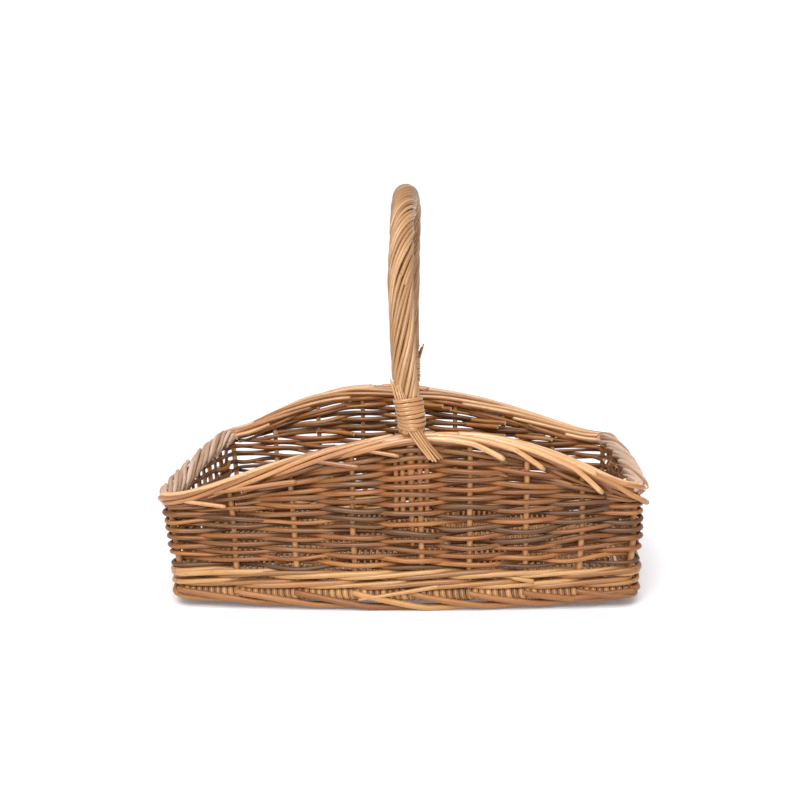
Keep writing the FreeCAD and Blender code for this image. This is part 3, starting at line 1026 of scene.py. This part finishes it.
def roping():
    """Thin tapering rods twisted side by side round the bow, over a layer that fills them out.

    Three more lie on top for part of the way, and sink in between the others at their ends.
    """
    rods = []
    length = HANDLE_S[-1]
    for strand in range(STRANDS):
        start = strand * 2 * math.pi / STRANDS + 0.07 * math.sin(strand * 2 * math.pi / 4)
        s = np.arange(1.0, length - 1.0, 3.0)
        taper = s / length if strand % 2 else 1 - s / length
        radius = STRAND_RADIUS * rng.uniform(0.93, 1.07) * (0.86 + 0.24 * taper)
        angle = start + twist(s) + wander(s, 0.07, 150)
        fuller = 0.4 * np.sin(math.pi * s / length)
        reach = ROPE_RADIUS - STRAND_RADIUS + fuller + wander(s, 0.8, 120)
        points, radial = on_handle(s, angle, reach)
        rods.append(rod(points, radius, radial, sides=8))
    for strand in range(UNDER_STRANDS):
        s = np.arange(1.0, length - 1.0, 6.0)
        angle = strand * 2 * math.pi / UNDER_STRANDS + twist(s)
        points, radial = on_handle(s, angle, np.full_like(s, 7.4))
        # tone 0.1: painted shade that shows in the gaps between the strands
        rods.append(rod(points, 2.6, radial, tone=0.1, sides=8))
    for first, last, start in OVER_STRANDS:
        s = np.arange(first, last, 3.0)
        angle = start + twist(s) - twist(np.array([first]))
        sink = np.exp(-((s - last) / 50) ** 2) * 3.5
        reach = ROPE_RADIUS - STRAND_RADIUS + 1.2 - sink
        points, radial = on_handle(s, angle, reach)
        rods.append(rod(points, OVER_RADIUS, radial, sides=8))
    return rods


LASHING_TURNS = 7.3
LASHING_START = 6.5        # how far along the handle it starts, and how far on each turn lies
LASHING_PITCH = 3.95
LASHING_SECTION = (0.85, 2.05)


def lashing(back):
    """Turns of split willow round one foot of the handle: a helix, lifted by a bell curve over the
    tail strands.
    """
    turns = np.arange(0, LASHING_TURNS, 1 / 32)
    along = LASHING_START + turns * LASHING_PITCH + wander(turns * 100, 0.6, 110)
    angle = 2 * math.pi * turns + 1.2
    over = np.radians(78 + 52 * turns / 7)
    over = math.pi - over if back else over
    beside = (angle - over + math.pi) % (2 * math.pi) - math.pi
    reach = ROPE_RADIUS + 0.9 + 2.6 * np.exp(-((beside / 0.62) ** 2)) + wander(turns * 100, 0.3, 90)
    s = HANDLE_S[-1] - along if back else along
    points, radial = on_handle(s, angle, reach)
    return [rod(points, LASHING_SECTION, radial, sides=8, swell=0.0)]


TAILS = (                  # height, distance to the right, and reach outside the middle
    (242.0, -14.5, 9.0), (234.0, -12.0, 9.0), (224.0, -8.5, 10.0),
    (210.0, -3.0, 13.5), (196.0, 3.0, 14.0), (187.0, 8.5, 14.0),
    (178.0, 14.5, 13.6), (170.0, 20.0, 12.8), (162.0, 25.5, 11.8),
)
TAIL_COUNT = 5


def tails(back):
    """The strands' tails: in at the handle's left above the lashing, under it, and side by side over
    the border.

    On the roping they lie on its round surface, so their reach is the square root of its radius
    squared less the square of their distance to the right. Below it they follow the border's outside.
    """
    rods = []
    flip = -1.0 if back else 1.0
    heights, right, reaches = np.array(TAILS).T
    knots = np.linspace(0, 1, len(heights))
    t = np.linspace(0, 1, 70)
    kernel = np.hanning(11)
    kernel /= kernel.sum()
    leg = np.concatenate([wall(4.0, np.arange(BOW_FOOT, HUMP_TOP - 2, 4.0)), HANDLE_LINE[:60]])
    middle = np.interp(np.maximum(heights, 180.0), leg[:, 2], leg[:, 1])
    on_rope = heights > HUMP_TOP + 4
    for number in range(TAIL_COUNT):
        runs = right + (number - 2.0) * np.linspace(2.7, 3.2, len(knots)) + rng.uniform(-0.3, 0.3)
        snug = np.sqrt(np.maximum((ROPE_RADIUS + 1.1) ** 2 - runs**2, 30.0))
        reach = np.where(on_rope, snug, reaches) + rng.uniform(0, 0.5)
        ragged = rng.uniform(-6, 4) * np.clip(1 - 4 * knots, 0, 1)
        ragged += rng.uniform(-2.5, 2.5) * np.clip(4 * knots - 3, 0, 1)
        table = runs, middle - reach, heights + ragged
        line = np.stack([np.interp(t, knots, column) for column in table], 1)
        padded = np.pad(line, ((5, 5), (0, 0)), mode="reflect", reflect_type="odd")
        line = np.stack([np.convolve(column, kernel, "valid") for column in padded.T], 1)
        line[:, :2] *= flip
        line[:, 0] += 1.0 + LEG_ASKEW * flip
        facing = np.array([0.0, -1.0, 0.0]) * flip
        thin = np.interp(t, [0, 0.15, 1], [0.75, 1, 1])
        rods.append(rod(line, (1.0 * thin, 1.2 * thin), facing, sides=8, swell=0.0, slant=(0.8, 0.4)))
    return rods


def bow_rod():
    """The bow under the roping, with both ends thinned and driven down the walls."""
    z = np.arange(BOW_FOOT, HUMP_TOP - 2, 4.0)
    path = np.concatenate([wall(4.0, z), HANDLE_LINE, wall(4.0 + BAYS / 2, z[::-1])])
    radius = np.interp(path[:, 2], [BOW_FOOT, 110, HUMP_TOP + 10], [2.5, 3.0, BOW_RADIUS])
    return rod(path, radius, (1.0, 0, 0))


# ---- making the pieces ---------------------------------------------------------------------------
def make_floor():
    piece("floor_weave", floor_weave(), floor_willow, "base_weave", "base_weave")
    for number in range(STICK_COUNT):
        x = np.linspace(-STICK_HALF_LENGTH, STICK_HALF_LENGTH, 90)
        y = (number - (STICK_COUNT - 1) / 2) * STICK_PITCH + wander(x, 0.5, 300)
        path = np.stack([x, y, np.full_like(x, FLOOR_LEVEL)], 1)
        taper = np.linspace(1.05, 0.92, len(x)) * STICK_RADIUS
        stick = rod(path, taper, (0, 0, 1.0))
        name, node = f"floor_stick_{number + 1}_rod", f"base_stick_{number + 1}"
        piece(name, [stick], floor_willow, "base_stick", node)


def make_stakes():
    for number, side in enumerate(SIDES):
        first, last = CORNERS[number], CORNERS[number + 1]
        for bay in range(first + 1, last):
            count = last - bay if side in ("back", "left") else bay - first
            shift = STAKE_BESIDE_BOW if bay % (BAYS // 2) == LONG_BAYS // 2 else 0.0
            shift = -shift if side == "back" else shift
            high = float(top_line(bay)) - BORDER_DEPTH + 4
            node = f"{side}_stake_{count}"
            made = stand(bay, STAKE_START, high, STAKE_RADIUS, shift)
            piece(f"{node}_rod", [made], stake_willow, "stake", node)
    names = ("front_left", "front_right", "back_right", "back_left")
    for name, bay in zip(names, CORNERS):
        made = stand(bay, STAKE_START, END_TOP + 4 + float(tilt(bay)), CORNER_STAKE_RADIUS)
        piece(f"corner_{name}_rod", [made], stake_willow, "stake", f"corner_stake_{name}")


def make_walls():
    weave, wale, foot = weave_rows(), wale_bands(), foot_rods()
    for side in SIDES:
        piece(f"{side}_weave_rods", weave[side], brown_willow, "side_weave", f"{side}_weave")
        piece(f"{side}_wale_rods", wale[side], wale_willow, "wale", f"{side}_wale")
        piece(f"{side}_foot_rods", foot[side], foot_willow, "foot_border", f"{side}_foot")
    for side, centre in LONG_CENTRES.items():
        rods = packing_rows(centre) + cut_ends(centre)
        piece(f"{side}_packing_rods", rods, packing_willow, "packing", f"{side}_packing")
        piece(f"{side}_border_rods", long_border(centre), border_willow, "top_border", f"{side}_border")
    for side, number in (("right", 1), ("left", 3)):
        rods = end_border(CORNERS[number], CORNERS[number + 1])
        piece(f"{side}_border_rods", rods, sheen_grey_willow, "top_border", f"{side}_border")


def make_handle():
    piece("handle_bow_rod", [bow_rod()], stake_willow, "base_stick", "handle_bow")
    piece("handle_roping_strands", roping(), handle_willow, "handle_roping", "handle_roping")
    for side, back in (("front", False), ("back", True)):
        name = f"handle_lashing_{side}"
        piece(f"{name}_skein", lashing(back), split_willow, "lashing", name)
    piece("handle_tail_strands", tails(False) + tails(True), split_willow, "lashing", "handle_tails")
    liners = [
        stand(centre, LINER_LOW, LINER_HIGH, STAKE_RADIUS * 0.85, shift)
        for centre in LONG_CENTRES.values() for shift in LINERS
    ]
    piece("handle_liner_rods", liners, stake_willow, "stake", "handle_liners")


make_floor()
make_stakes()
make_walls()
make_handle()


# ---- the studio ----------------------------------------------------------------------------------
def make_stage():
    paint = Paint("studio_floor")
    white = paint.surface(**{
        "Base Color": (0.86, 0.87, 0.9, 1),
        "Roughness": 0.8,
        "Specular IOR Level": 0.1,
        "Emission Color": (1, 1, 1, 1),
        "Emission Strength": 0.12,
    })
    mesh = bpy.data.meshes.new("studio_floor")
    far = 30.0
    corners = [(-far, -far, 0), (far, -far, 0), (far, far, 0), (-far, far, 0)]
    mesh.from_pydata(corners, [], [(0, 1, 2, 3)])
    mesh.materials.append(white)
    floor = bpy.data.objects.new("studio_floor", mesh)
    bpy.context.scene.collection.objects.link(floor)


def lamp(name, kind, place, power, **settings):
    """A lamp aimed at the middle of the basket."""
    data = bpy.data.lights.new(name, kind)
    data.energy = power
    for key, value in settings.items():
        setattr(data, key, value)
    made = bpy.data.objects.new(name, data)
    made.location = place
    made.rotation_euler = (Vector((0, 0, 0.15)) - Vector(place)).to_track_quat("-Z", "Y").to_euler()
    bpy.context.scene.collection.objects.link(made)


def make_studio():
    """A white room: the camera sees it white, and it lights the basket gently. A broad lamp stands
    overhead.
    """
    make_stage()
    world = bpy.data.worlds.new("studio")
    world.use_nodes = True
    nodes = world.node_tree.nodes
    nodes["Background"].inputs["Color"].default_value = (1, 1, 1, 1)
    nodes["Background"].inputs["Strength"].default_value = 0.5
    seen = nodes.new("ShaderNodeBackground")
    seen.inputs["Color"].default_value = (1, 1, 1, 1)
    seen.inputs["Strength"].default_value = 1.05
    path = nodes.new("ShaderNodeLightPath")
    either = nodes.new("ShaderNodeMixShader")
    links = world.node_tree.links
    links.new(path.outputs["Is Camera Ray"], either.inputs[0])
    links.new(nodes["Background"].outputs[0], either.inputs[1])
    links.new(seen.outputs[0], either.inputs[2])
    links.new(either.outputs[0], nodes["World Output"].inputs["Surface"])
    bpy.context.scene.world = world
    lamp("overhead_light", "SUN", (0.0, -0.4, 1.0), 2.2, angle=math.radians(60))
    lamp("front_softbox", "AREA", (-0.15, -1.8, 1.2), 22.0, size=0.9, color=(1.0, 0.98, 0.95))
    bpy.context.scene.view_settings.view_transform = "Standard"


def make_camera():
    """The camera stands about 1.5 m in front, a little to the right, looks slightly down, and leans a
    little.
    """
    data = bpy.data.cameras.new("camera")
    data.sensor_width = 36.0
    data.lens = 58.7
    camera = bpy.data.objects.new("camera", data)
    camera.location = (0.0867, -1.5055, 0.4048)
    yaw, pitch, roll = 0.0644, 0.1375, 0.0175
    aim = Vector((-math.sin(yaw) * math.cos(pitch), math.cos(yaw) * math.cos(pitch), -math.sin(pitch)))
    turned = aim.to_track_quat("-Z", "Y") @ Quaternion((0, 0, 1), -roll)
    camera.rotation_euler = turned.to_euler()
    bpy.context.scene.collection.objects.link(camera)
    bpy.context.scene.camera = camera


make_studio()
make_camera()
